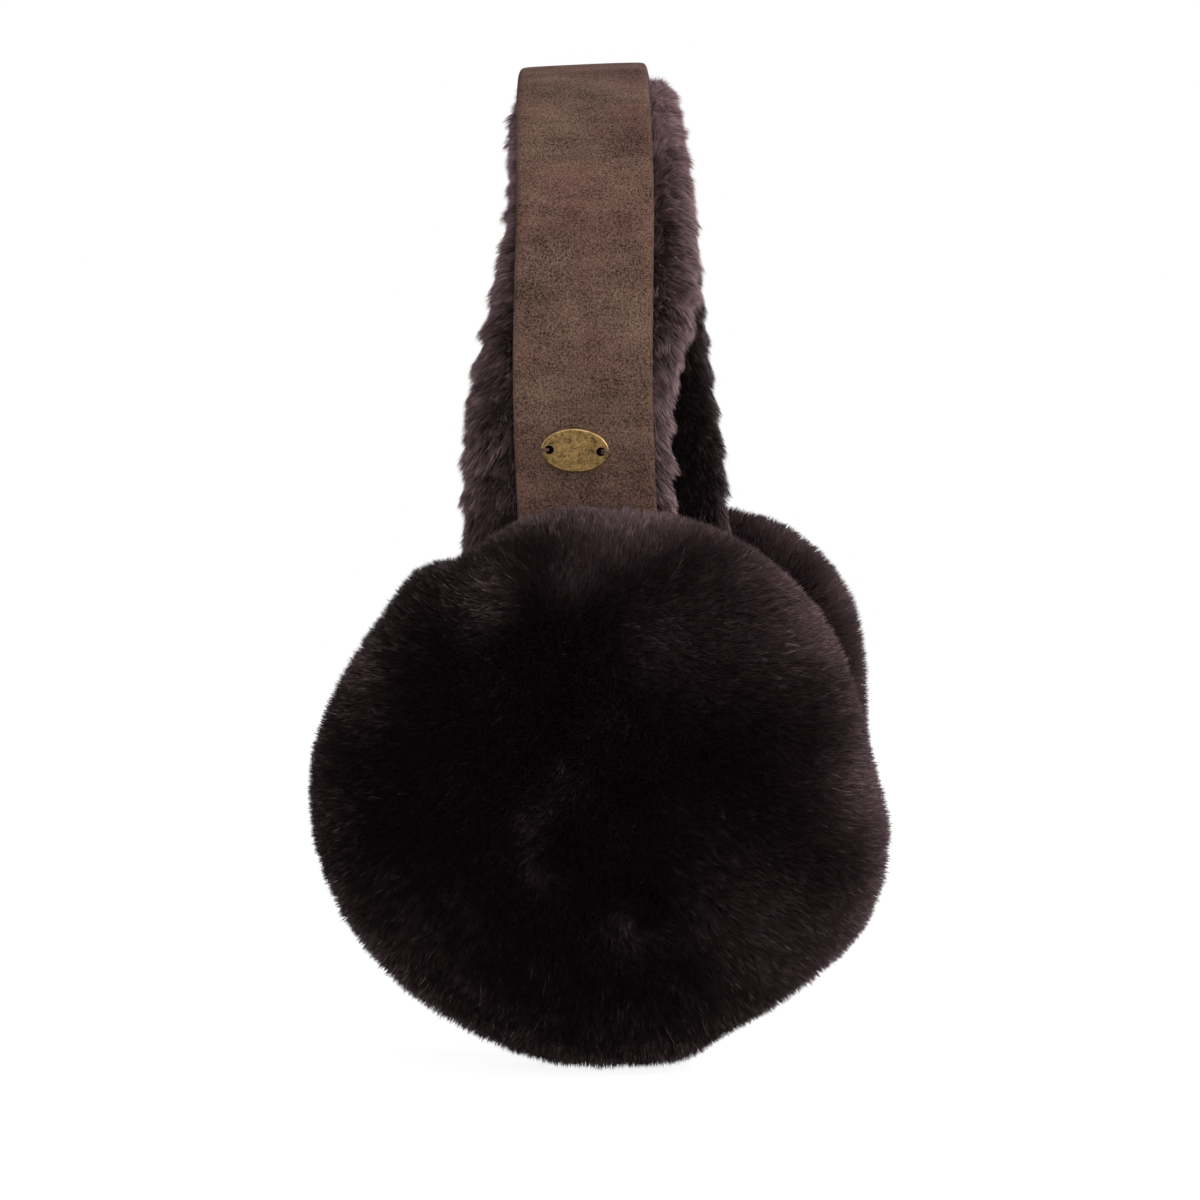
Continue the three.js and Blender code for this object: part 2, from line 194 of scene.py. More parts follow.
class PileSettings(bpy.types.PropertyGroup):
    """Sizes and colours of the sheared pile."""

    pad_length: bpy.props.FloatProperty(
        name="Pad pile", description="Length of the pads' pile", default=3.8 * MM, unit="LENGTH"
    )
    lining_length: bpy.props.FloatProperty(
        name="Lining pile", description="Length of the lining's pile", default=5.8 * MM, unit="LENGTH"
    )
    hair_width: bpy.props.FloatProperty(
        name="Hair width", description="Width of a lock of hairs at its root", default=0.3 * MM, unit="LENGTH"
    )
    # Near-black painted shade deep in the pile and on the skin under it
    root: bpy.props.FloatVectorProperty(
        name="Root", description="Colour deep in the pile", subtype="COLOR",
        default=(0.003, 0.0017, 0.002),
    )
    pad_tip: bpy.props.FloatVectorProperty(
        name="Pad tips", description="Colour of the pads' tips", subtype="COLOR",
        default=(0.01, 0.0068, 0.0073),
    )
    lining_tip: bpy.props.FloatVectorProperty(
        name="Lining tips", description="Colour of the lining's tips", subtype="COLOR",
        default=(0.34, 0.225, 0.235),
    )
    sheen: bpy.props.FloatVectorProperty(
        name="Sheen", description="Tint of the light that the hairs reflect", subtype="COLOR",
        default=(1, 0.68, 0.71),
    )


class StrapSettings(bpy.types.PropertyGroup):
    """Colours of the suede strap."""

    suede: bpy.props.FloatVectorProperty(
        name="Suede", description="Colour of the brushed suede", subtype="COLOR",
        default=(0.27, 0.163, 0.12),
    )
    suede_red: bpy.props.FloatVectorProperty(
        name="Red suede", description="Colour of its redder clouds", subtype="COLOR",
        default=(0.231, 0.122, 0.096),
    )
    suede_dark: bpy.props.FloatVectorProperty(
        name="Rubbed suede", description="Colour where the nap is rubbed flat", subtype="COLOR",
        default=(0.008, 0.0045, 0.0035),
    )


class TagSettings(bpy.types.PropertyGroup):
    """Sizes and colours of the tag and its stitches."""

    tag_length: bpy.props.FloatProperty(
        name="Tag length", description="Length of the oval tag", default=13.8 * MM, unit="LENGTH"
    )
    tag_height: bpy.props.FloatProperty(
        name="Tag height", description="Height of the oval tag", default=9 * MM, unit="LENGTH"
    )
    tag_thickness: bpy.props.FloatProperty(
        name="Tag thickness", description="Thickness of the oval tag", default=1.1 * MM, unit="LENGTH"
    )
    hole_spacing: bpy.props.FloatProperty(
        name="Hole spacing", description="Between the middles of the two holes", unit="LENGTH",
        default=10.5 * MM,
    )
    hole_width: bpy.props.FloatProperty(
        name="Hole width", description="Across each hole", default=1.9 * MM, unit="LENGTH"
    )
    thread_radius: bpy.props.FloatProperty(
        name="Thread radius", description="Radius of the thread", default=0.17 * MM, unit="LENGTH"
    )
    brass: bpy.props.FloatVectorProperty(
        name="Brass", description="Colour of the worn brass", subtype="COLOR", default=(0.29, 0.182, 0.07)
    )
    rim: bpy.props.FloatVectorProperty(
        name="Rim", description="Colour of the rubbed rim", subtype="COLOR", default=(0.72, 0.475, 0.21)
    )
    patina: bpy.props.FloatVectorProperty(
        name="Patina", description="Colour of the darkened brass", subtype="COLOR",
        default=(0.05, 0.032, 0.014),
    )
    thread: bpy.props.FloatVectorProperty(
        name="Thread", description="Colour of the thread", subtype="COLOR", default=(0.1, 0.055, 0.045)
    )


class StageSettings(bpy.types.PropertyGroup):
    """The photograph's viewpoint and the studio light."""

    azimuth: bpy.props.FloatProperty(
        name="Azimuth", description="Camera's bearing", default=math.radians(92), subtype="ANGLE"
    )
    elevation: bpy.props.FloatProperty(
        name="Elevation", description="Camera's height as an angle", subtype="ANGLE",
        default=math.radians(3.9),
    )
    distance: bpy.props.FloatProperty(
        name="Distance", description="From the camera to the earmuffs' middle", default=0.76, unit="LENGTH"
    )
    top_light: bpy.props.FloatProperty(name="Top light", description="Watts", default=11)
    key_light: bpy.props.FloatProperty(name="Key light", description="Watts", default=12)
    side_light: bpy.props.FloatProperty(name="Side light", description="Watts", default=5)
    back_light: bpy.props.FloatProperty(name="Back light", description="Watts", default=10)
    front_light: bpy.props.FloatProperty(name="Front light", description="Watts", default=10)
    surround: bpy.props.FloatProperty(name="Surround", description="Light from all round", default=0.16)
    floor_glow: bpy.props.FloatProperty(
        name="Floor glow", description="Brightness of the floor that only the camera sees", default=0.9
    )


# Shared mesh work


def merged_copy(node):
    """A bmesh of a CAD node with its loose triangles joined."""
    shape = bmesh.new()
    shape.from_mesh(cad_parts[node].data)
    bmesh.ops.remove_doubles(shape, verts=shape.verts, dist=MERGE_DISTANCE)
    return shape


def add_piece(name, mesh, material, replaced=()):
    """Puts a mesh in the scene as a piece of the earmuffs."""
    piece = bpy.data.objects.new(name, mesh)
    bpy.context.collection.objects.link(piece)
    mesh.materials.append(material)
    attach(piece, "root")
    if replaced:
        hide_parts(*replaced)
    return piece


def to_mesh(shape, name):
    """Turns a finished bmesh into a smooth-shaded mesh."""
    for face in shape.faces:
        face.smooth = True
    mesh = bpy.data.meshes.new(name)
    shape.to_mesh(mesh)
    shape.free()
    return mesh


def finish_modifiers(piece):
    """Applies a piece's modifiers to its mesh."""
    graph = bpy.context.evaluated_depsgraph_get()
    made = bpy.data.meshes.new_from_object(piece.evaluated_get(graph))
    piece.modifiers.clear()
    old = piece.data
    piece.data = made
    bpy.data.meshes.remove(old)
    made.name = piece.name


# The pile


def unit(vectors):
    """Vectors scaled to length one."""
    shortest = 1e-9
    return vectors / np.maximum(np.linalg.norm(vectors, axis=1, keepdims=True), shortest)


def swaying(points, wavelength, rng, waves=14):
    """A smooth random vector for each point, about one long, that changes over a wavelength."""
    heading = unit(rng.normal(size=(waves, 3)))
    slowest, fastest = 0.7, 1.5
    rate = 2 * math.pi / wavelength * rng.uniform(slowest, fastest, (waves, 1))
    phase = rng.uniform(0, 2 * math.pi, waves)
    pull = rng.normal(size=(waves, 3))
    return np.sin(points @ (heading * rate).T + phase) @ pull / math.sqrt(waves)


def broad_normals(shape, rounds=0):
    """The normal at each vertex of a bmesh, in which each face counts by its area. Each round
    evens it out with the vertices beside it."""
    shape.normal_update()
    broad = {}
    for vertex in shape.verts:
        faces = vertex.link_faces
        broad[vertex] = sum((face.normal * face.calc_area() for face in faces), Vector()).normalized()
    for _ in range(rounds):
        beside = {}
        for vertex in shape.verts:
            others = (broad[edge.other_vert(vertex)] for edge in vertex.link_edges)
            beside[vertex] = sum(others, broad[vertex])
        broad = {vertex: total.normalized() for vertex, total in beside.items()}
    return broad


def tree_of(node):
    """A CAD node's surface, for rays."""
    return BVHTree.FromBMesh(merged_copy(node))


def room_before(tree, place, normal, reach):
    """How far a surface is in front of a place, or None beyond reach."""
    gap = 0.05 * MM
    hit = tree.ray_cast(place + normal * gap, normal, reach)[3]
    return None if hit is None else hit + gap


def bare_ground(node, reach, keep, backing=None):
    """The triangles of a CAD node on which pile grows: (corners, corner normals). Keep says by
    a face's middle whether it stays. Faces with another piece within reach in front of them are
    left out, except that pile under the backing piece reaches up to it."""
    shape = merged_copy(node)
    bmesh.ops.triangulate(shape, faces=shape.faces)
    broad = broad_normals(shape, rounds=2)
    trees = [tree_of(other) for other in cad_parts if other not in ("brass_tag", backing)]
    behind = tree_of(backing) if backing else None
    off_surface = 0.3 * MM
    least_agreement = 0.3
    corners, normals = [], []
    for face in shape.faces:
        centre = face.calc_center_median()
        start = centre + face.normal * off_surface
        if not keep(centre):
            continue
        if any(tree.ray_cast(start, face.normal, reach)[0] is not None for tree in trees):
            continue
        rise = room_before(behind, centre, face.normal, BACKING_REACH) if behind else None
        own = [broad[vertex] for vertex in face.verts]
        own = [normal if normal.dot(face.normal) > least_agreement else face.normal for normal in own]
        corners.append([vertex.co + face.normal * (rise or 0) for vertex in face.verts])
        normals.append(own)
    result = np.array(corners), np.array(normals)
    shape.free()
    return result


def scatter(ground, count, rng):
    """Random points spread evenly over the ground, with their normals."""
    corners, normals = ground
    sides = np.cross(corners[:, 1] - corners[:, 0], corners[:, 2] - corners[:, 0])
    area = np.linalg.norm(sides, axis=1)
    face = rng.choice(len(corners), count, p=area / area.sum())
    share = rng.uniform(size=(count, 2))
    over = share.sum(axis=1) > 1
    share[over] = 1 - share[over]
    share = np.column_stack([1 - share.sum(axis=1), share])
    points = np.einsum("nk,nkj->nj", share, corners[face])
    return points, unit(np.einsum("nk,nkj->nj", share, normals[face]))


def tufts_of(points, size, rng):
    """Sorts points into tufts of about a size: (each tuft's middle point, each point's tuft)."""
    middles = rng.choice(len(points), round(len(points) / size), replace=False)
    tree = KDTree(len(middles))
    for index, middle in enumerate(points[middles]):
        tree.insert(middle, index)
    tree.balance()
    return middles, np.array([tree.find(point)[1] for point in points])


def lock_mesh(name, corners):
    """A mesh of separate triangles."""
    count = len(corners)
    mesh = bpy.data.meshes.new(name)
    mesh.vertices.add(3 * count)
    mesh.vertices.foreach_set("co", corners.ravel())
    mesh.loops.add(3 * count)
    mesh.loops.foreach_set("vertex_index", np.arange(3 * count))
    mesh.polygons.add(count)
    mesh.polygons.foreach_set("loop_start", np.arange(0, 3 * count, 3))
    return mesh


def map_locks(mesh, tone, foot):
    """Lays each lock on the pile's map: its tone across, and from its foot to its tip upwards."""
    across = np.stack([tone - TONE_EDGE, tone + TONE_EDGE, tone], axis=1)
    up = np.stack([foot, foot, np.full(len(foot), TIP_PLACE)], axis=1)
    tones = mesh.uv_layers.new(name="OFBake")
    tones.data.foreach_set("uv", np.stack([across, up], axis=2).ravel())
    mesh.update(calc_edges=True)


def grow_pile(name, ground, coat, nap, material):
    """Grows a coat of pile whose tips reach the ground. Each lock is one narrow triangle. A lock
    with painted light (its glow) starts further up the map, so the painted light reaches further down it."""
    rng = np.random.default_rng(coat["seed"])
    count = coat["locks"]
    points, normals = scatter(ground, count, rng)
    lean, glow = nap(points, normals, rng)
    middles, tuft = tufts_of(points, coat["tuft"], rng)
    lean -= normals * np.einsum("nj,nj->n", lean, normals)[:, None]
    laid = UPRIGHT_LAID + np.minimum(np.linalg.norm(lean, axis=1, keepdims=True), MOST_LAID)
    stray = coat["stray"] * laid * rng.normal(size=(len(middles), 3))[tuft]
    along = unit(normals + lean + stray)
    long = coat["long"] * rng.uniform(*LOCK_LENGTHS, (count, 1))
    rise = coat["ragged"] * swaying(points, RAGGED_WAVE, rng)[:, :1]
    tips = points + along * (rng.normal(coat["proud"], TIP_SCATTER, (count, 1)) + rise)
    tips += coat["gather"] * laid * (tips[middles][tuft] - tips)
    along = unit(tips - points + along * long)
    roots = tips - along * long
    across = unit(np.cross(along, rng.normal(size=(count, 3)))) * coat["wide"] / 2
    corners = np.stack([roots - across, roots + across, tips], axis=1)
    corners[:, :, 2] = np.maximum(corners[:, :, 2], 0)
    mesh = lock_mesh(name, corners)
    # The glow is painted light, or painted shade where it is below zero; the rest is the locks' own tone
    tone = USUAL_TONE + glow + rng.normal(0, LOCK_TONE, count)
    tone += rng.normal(0, TUFT_TONE, len(middles))[tuft]
    map_locks(mesh, np.clip(tone, *TONE_RANGE), np.clip(FOOT_SHARE * glow, *FOOT_RANGE))
    return add_piece(name, mesh, material)


def heading_of(degrees):
    """A direction across and up, in degrees anticlockwise from across."""
    return np.array([math.cos(math.radians(degrees)), math.sin(math.radians(degrees))])


def pad_nap(side, face):
    """How the pile on one face of a pad leans, and its glow of painted light and painted shade: out towards
    the rim, and by each named spot. The rim's painted highlight is brightest on one side."""
    centre = np.array(middle_of(f"ear_pad_{side}"))
    low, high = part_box(f"ear_pad_{side}")
    radius = (high[1] - low[1]) / 2
    rim = RIM_PAINTED_LIGHT[side]

    def nap(points, normals, rng):
        out = (points - centre)[:, 1:]
        away = out / radius
        far = np.linalg.norm(away, axis=1)
        lean = RIM_LEAN * away * far[:, None] ** RIM_LEAN_POWER
        facing = unit(away) @ heading_of(RIM_TURN)
        lit = np.clip(RIM_QUARTER_SHARE + RIM_TURN_SHARE * facing, 0, 1)
        # The face's own painted light, and a painted highlight that grows towards the rim on its lit side
        glow = face["glow"] + rim["glow"] * lit * far ** rim["power"]
        for spot in face["spots"]:
            spread = spot["spread"] * MM
            offset = out - np.array([spot["across"], spot["up"]]) * MM
            near = np.exp(-(offset ** 2).sum(axis=1) / spread ** 2)[:, None]
            heading = offset / spread
            turned = np.column_stack([-heading[:, 1], heading[:, 0]])
            combed = spot["lean"] * heading_of(spot["comb"])
            lean = lean + near * (spot["fan"] * heading + spot["whorl"] * turned + combed)
            # Each spot adds painted light, or painted shade where its glow is below zero
            glow += near[:, 0] * spot["glow"]
        lean = np.column_stack([np.zeros(len(points)), lean])
        for strength, wavelength in PAD_SWAY:
            lean += strength * swaying(points, wavelength, rng)
        return lean + PAD_SLACK * rng.normal(size=points.shape), glow

    return nap


def lining_nap(points, normals, rng):
    """How the lining's pile leans: down, in soft tufts that are calmer on the right arm. Its
    glow, painted light, fades downwards and towards the right arm, where painted shade darkens it."""
    edge = np.abs(normals[:, 1])
    lean = np.column_stack([np.zeros((len(points), 2)), -LINING_DROP - LINING_EDGE_DROP * edge])
    arm = points[:, :1] / ARM_DISTANCE
    calm = CALM_MIDDLE + CALM_CHANGE * np.clip(arm, -1, 1)
    for strength, wavelength in LINING_SWAY:
        lean += strength * calm * swaying(points, wavelength, rng)
    # Painted shade on the right arm, and painted light towards the back and upwards
    glow = RIGHT_ARM_PAINTED_SHADE * np.clip(arm[:, 0], -1, 0) + BACK_PAINTED_LIGHT * normals[:, 1]
    glow += HIGH_PAINTED_LIGHT * np.clip((points[:, 2] - PAINTED_LIGHT_HEIGHT) / PAINTED_LIGHT_RISE, -1, 1)
    return lean + LINING_SLACK * rng.normal(size=points.shape), glow


def under_pile(node, name, depth, material, backing=None):
    """The skin that the pile grows from: the CAD form drawn in by the pile's depth, except
    under the backing piece."""
    shape = merged_copy(node)
    behind = tree_of(backing) if backing else None
    for vertex, normal in broad_normals(shape).items():
        if behind and room_before(behind, vertex.co, normal, depth):
            continue
        vertex.co -= normal * depth
    every_way = {"use_axis_x": True, "use_axis_y": True, "use_axis_z": True}
    bmesh.ops.smooth_vert(shape, verts=shape.verts, factor=0.5, **every_way)
    return add_piece(name, to_mesh(shape, name), material, replaced=(node,))


# Materials


# A Mix node's colour sockets share their names, so they go by number
MIX_LOW, MIX_HIGH, MIX_RESULT = 6, 7, 2


def new_material(name):
    """An empty material with its Principled shader: (material, nodes, links, shader)."""
    material = bpy.data.materials.new(name)
    material.use_nodes = True
    nodes, links = material.node_tree.nodes, material.node_tree.links
    return material, nodes, links, nodes["Principled BSDF"]


def plain(colour):
    """A colour setting as red, green, blue and full alpha."""
    return (*colour, 1)


def set_constants(node, values):
    """Sets a node's sockets by name."""
    for name, value in values.items():
        node.inputs[name].default_value = value


def place_in(nodes):
    """The place of a point on its object."""
    return nodes.new("ShaderNodeTexCoord").outputs["Object"]


def calculated(nodes, links, operation, *values):
    """A math node's value, from numbers and other nodes' outputs."""
    node = nodes.new("ShaderNodeMath")
    node.operation = operation
    for socket, value in zip(node.inputs, values):
        if isinstance(value, bpy.types.NodeSocket):
            links.new(value, socket)
        else:
            socket.default_value = value
    return node.outputs["Value"]


def noise_at(nodes, links, vector, scale, detail=3, rough=0.55):
    """A noise texture's value over a vector."""
    noise = nodes.new("ShaderNodeTexNoise")
    set_constants(noise, {"Scale": scale, "Detail": detail, "Roughness": rough})
    links.new(vector, noise.inputs["Vector"])
    return noise.outputs["Fac"]


def squeezed(nodes, links, vector, scale, turn):
    """A vector scaled along its axes and turned about X by degrees, for marks that run one way."""
    mapping = nodes.new("ShaderNodeMapping")
    set_constants(mapping, {"Scale": scale, "Rotation": (math.radians(turn), 0, 0)})
    links.new(vector, mapping.inputs["Vector"])
    return mapping.outputs["Vector"]


def two_tones(nodes, links, value, low, high, ends=(0, 1)):
    """A colour that goes from low to high between the two ends of a value."""
    ramp = nodes.new("ShaderNodeValToRGB")
    for index, (position, colour) in enumerate(zip(ends, (low, high))):
        ramp.color_ramp.elements[index].position = position
        ramp.color_ramp.elements[index].color = plain(colour)
    links.new(value, ramp.inputs["Fac"])
    return ramp.outputs["Color"]


def bumped(nodes, links, height, distance, strength, under=None):
    """The normal of a bumpy surface, over another such normal where one is given."""
    bump = nodes.new("ShaderNodeBump")
    set_constants(bump, {"Distance": distance, "Strength": strength})
    links.new(height, bump.inputs["Height"])
    if under is not None:
        links.new(under, bump.inputs["Normal"])
    return bump.outputs["Normal"]


def pile_colour_group():
    """Node group: dark at a lock's root, painted shade for the depth of the pile, and light at its tip, a
    little different from lock to lock.
    """
    name = "Pile Colour"
    if name in bpy.data.node_groups:
        return bpy.data.node_groups[name]
    group = bpy.data.node_groups.new(name, "ShaderNodeTree")
    kinds = {
        "Map": "NodeSocketVector",
        "Root": "NodeSocketColor",
        "Tip": "NodeSocketColor",
        "Fade": "NodeSocketFloat",
    }
    for socket, kind in kinds.items():
        group.interface.new_socket(socket, in_out="INPUT", socket_type=kind)
    group.interface.new_socket("Color", in_out="OUTPUT", socket_type="NodeSocketColor")
    nodes, links = group.nodes, group.links
    given = nodes.new("NodeGroupInput")
    result = nodes.new("NodeGroupOutput")
    split = nodes.new("ShaderNodeSeparateXYZ")
    links.new(given.outputs["Map"], split.inputs["Vector"])
    blend = nodes.new("ShaderNodeMix")
    blend.data_type = "RGBA"
    rise = calculated(nodes, links, "POWER", split.outputs["Y"], given.outputs["Fade"])
    links.new(rise, blend.inputs["Factor"])
    links.new(given.outputs["Root"], blend.inputs[MIX_LOW])
    links.new(given.outputs["Tip"], blend.inputs[MIX_HIGH])
    times_usual = calculated(nodes, links, "DIVIDE", split.outputs["X"], USUAL_TONE)
    tone = calculated(nodes, links, "POWER", times_usual, 2)
    shade = nodes.new("ShaderNodeVectorMath")
    shade.operation = "SCALE"
    links.new(blend.outputs[MIX_RESULT], shade.inputs["Vector"])
    links.new(tone, shade.inputs["Scale"])
    links.new(shade.outputs["Vector"], result.inputs["Color"])
    return group


def pile_material(name, root, tip, sheen, fade):
    """Sheared pile that is dark in its depth, painted shade, and light at its tips. Fade is how soon it
    darkens.
    """
    material, nodes, links, shader = new_material(name)
    strands = nodes.new("ShaderNodeUVMap")
    strands.uv_map = "OFBake"
    colour = nodes.new("ShaderNodeGroup")
    colour.node_tree = pile_colour_group()
    set_constants(colour, {"Root": plain(root), "Tip": plain(tip), "Fade": fade})
    links.new(strands.outputs["UV"], colour.inputs["Map"])
    links.new(colour.outputs["Color"], shader.inputs["Base Color"])
    set_constants(shader, {"Roughness": 0.49, "IOR": 1.6})
    set_constants(shader, {"Specular IOR Level": 1, "Specular Tint": plain(sheen)})
    return material


def skin_material(name, root):
    """The skin under the pile, near-black as painted shade between the locks; the tag's hole shadows use it
    too. Pieces that name the same skin share it.
    """
    if name in bpy.data.materials:
        return bpy.data.materials[name]
    material, nodes, links, shader = new_material(name)
    grain = noise_at(nodes, links, place_in(nodes), 700, detail=2, rough=0.5)
    tones = two_tones(nodes, links, grain, (0, 0, 0), Vector(root) * 2)
    links.new(tones, shader.inputs["Base Color"])
    set_constants(shader, {"Roughness": 1, "Specular IOR Level": 0})
    return material


def suede_material(light, red, dark):
    """Brushed suede: clouds of redder tone, a fine grain and faint cross wrinkles."""
    material, nodes, links, shader = new_material("suede")
    place = place_in(nodes)
    clouds = noise_at(nodes, links, place, 110, detail=5, rough=0.6)
    grain = noise_at(nodes, links, place, 2400, detail=3, rough=0.85)
    crosswise = squeezed(nodes, links, place, (1, 0.35, 1.6), turn=8)
    wrinkles = noise_at(nodes, links, crosswise, 130, detail=4, rough=0.6)
    cloud_share, grain_share = 0.9, 4.4
    darkest, lightest = 2.45, 3.85
    cloudy = calculated(nodes, links, "MULTIPLY_ADD", clouds, cloud_share, wrinkles)
    tone = calculated(nodes, links, "MULTIPLY_ADD", grain, grain_share, cloudy)
    ramp = nodes.new("ShaderNodeMapRange")
    set_constants(ramp, {"From Min": darkest, "From Max": lightest})
    links.new(tone, ramp.inputs["Value"])
    hue = noise_at(nodes, links, place, 60, detail=3, rough=0.6)
    blend = nodes.new("ShaderNodeMix")
    blend.data_type = "RGBA"
    blend.inputs[MIX_LOW].default_value = plain(dark)
    links.new(two_tones(nodes, links, hue, light, red, ends=(0.36, 0.64)), blend.inputs[MIX_HIGH])
    links.new(ramp.outputs["Result"], blend.inputs["Factor"])
    links.new(blend.outputs[MIX_RESULT], shader.inputs["Base Color"])
    folds = bumped(nodes, links, wrinkles, distance=0.6 * MM, strength=0.3)
    nap = bumped(nodes, links, grain, distance=0.3 * MM, strength=0.9, under=folds)
    links.new(nap, shader.inputs["Normal"])
    set_constants(shader, {"Roughness": 0.95, "Specular IOR Level": 0.1})
    return material


def brass_material(name, brass, patina, bright_at):
    """Aged brass: darkened in its pits, with fine scratches. It is all bright metal from a stain
    value of bright_at up."""
    material, nodes, links, shader = new_material(name)
    place = place_in(nodes)
    stains = noise_at(nodes, links, place, 900, detail=8, rough=0.85)
    lengthwise = squeezed(nodes, links, place, (1, 1, 6), turn=-20)
    scratches = noise_at(nodes, links, lengthwise, 700, detail=2, rough=0.5)
    scratch_share, dark_at = 0.25, 0.5
    tone = calculated(nodes, links, "MULTIPLY_ADD", scratches, scratch_share, stains)
    colour = two_tones(nodes, links, tone, patina, brass, ends=(dark_at, bright_at))
    links.new(colour, shader.inputs["Base Color"])
    pits = bumped(nodes, links, tone, distance=0.06 * MM, strength=0.5)
    links.new(pits, shader.inputs["Normal"])
    set_constants(shader, {"Metallic": 1, "Roughness": 0.42})
    return material


def thread_material(colour):
    """Matt twisted thread."""
    material, nodes, links, shader = new_material("thread")
    fibres = noise_at(nodes, links, place_in(nodes), 2500, detail=2)
    darker, lighter = Vector(colour) * 0.5, Vector(colour) * 1.8
    links.new(two_tones(nodes, links, fibres, darker, lighter), shader.inputs["Base Color"])
    set_constants(shader, {"Roughness": 0.85})
    return material


# Operators


class EARMUFFS_OT_pads(bpy.types.Operator):
    """Grow the pile of both ear pads on their cushions"""

    bl_idname = "earmuffs.pads"
    bl_label = "Ear pads"

    def execute(self, context):
        sizes = context.scene.earmuff_pile
        pile = pile_material("dark_pile", sizes.root, sizes.pad_tip, sizes.sheen, fade=7)
        skin = skin_material("pile_skin", sizes.root)
        depth = 0.7 * sizes.pad_length
        for side in ("left", "right"):
            cushion = under_pile(f"ear_pad_{side}", f"{side}_pad_cushion", depth, skin)
        for seed, coat in enumerate(PAD_COATS):
            self.grow(coat, sizes, pile, seed)
        return {"FINISHED"}

    def grow(self, coat, sizes, pile, seed):
        """Grows one coat on one face of one pad."""
        node = f"ear_pad_{coat['side']}"
        face = PAD_FACES[coat["face"]]
        edge_plane = middle_of(node).x
        outwards = math.copysign(1, edge_plane) * face["way"]
        ground = bare_ground(node, PAD_REACH, lambda centre: (centre.x - edge_plane) * outwards > 0)
        share = coat["locks"] / FULL_COAT
        grown = {
            **PAD_LOCKS,
            "seed": seed,
            "locks": coat["locks"],
            "long": coat["long"] * sizes.pad_length,
            "wide": sizes.hair_width / math.sqrt(share),
            "tuft": PAD_LOCKS["tuft"] * share,
            "stray": PAD_LOCKS["stray"] * face["calm"],
            "gather": PAD_LOCKS["gather"] * face["calm"],
        }
        name = f"{coat['side']}_pad_{coat['face']}_{coat['coat']}"
        grow_pile(name, ground, grown, pad_nap(coat["side"], face), pile)


class EARMUFFS_OT_lining(bpy.types.Operator):
    """Grow the tufted pile of the headband's lining"""

    bl_idname = "earmuffs.lining"
    bl_label = "Fur lining"

    def execute(self, context):
        sizes = context.scene.earmuff_pile
        depth = 0.6 * sizes.lining_length
        root = Vector(sizes.lining_tip) * LINING_ROOT_SHARE
        skin = skin_material("lining_skin", root)
        under_pile("fur_lining", "lining_skin", depth, skin, backing="suede_strap")
        pile = pile_material("band_pile", root, sizes.lining_tip, sizes.sheen, fade=3)
        for seed, half in enumerate(LINING_HALVES, start=LINING_FIRST_SEED):
            ground = bare_ground(
                "fur_lining", LINING_REACH, lambda centre: centre.x * half["sign"] > 0, backing="suede_strap"
            )
            grown = {
                **LINING_LOCKS,
                "seed": seed,
                "locks": half["locks"],
                "long": sizes.lining_length,
                "wide": half["wide"] * sizes.hair_width,
                "tuft": half["tuft"],
                "ragged": half["ragged"],
            }
            grow_pile(f"{half['side']}_lining_pile", ground, grown, lining_nap, pile)
        return {"FINISHED"}


class EARMUFFS_OT_strap(bpy.types.Operator):
    """Round the suede strap's turned edges and give it its nap"""

    bl_idname = "earmuffs.strap"
    bl_label = "Suede strap"

    def execute(self, context):
        colours = context.scene.earmuff_strap
        suede = suede_material(colours.suede, colours.suede_red, colours.suede_dark)
        name = "brushed_strap"
        mesh = to_mesh(merged_copy("suede_strap"), name)
        strap = add_piece(name, mesh, suede, replaced=("suede_strap",))
        rounding = strap.modifiers.new("rounding", "SUBSURF")
        rounding.levels = 2
        rounding.render_levels = 2
        finish_modifiers(strap)
        return {"FINISHED"}


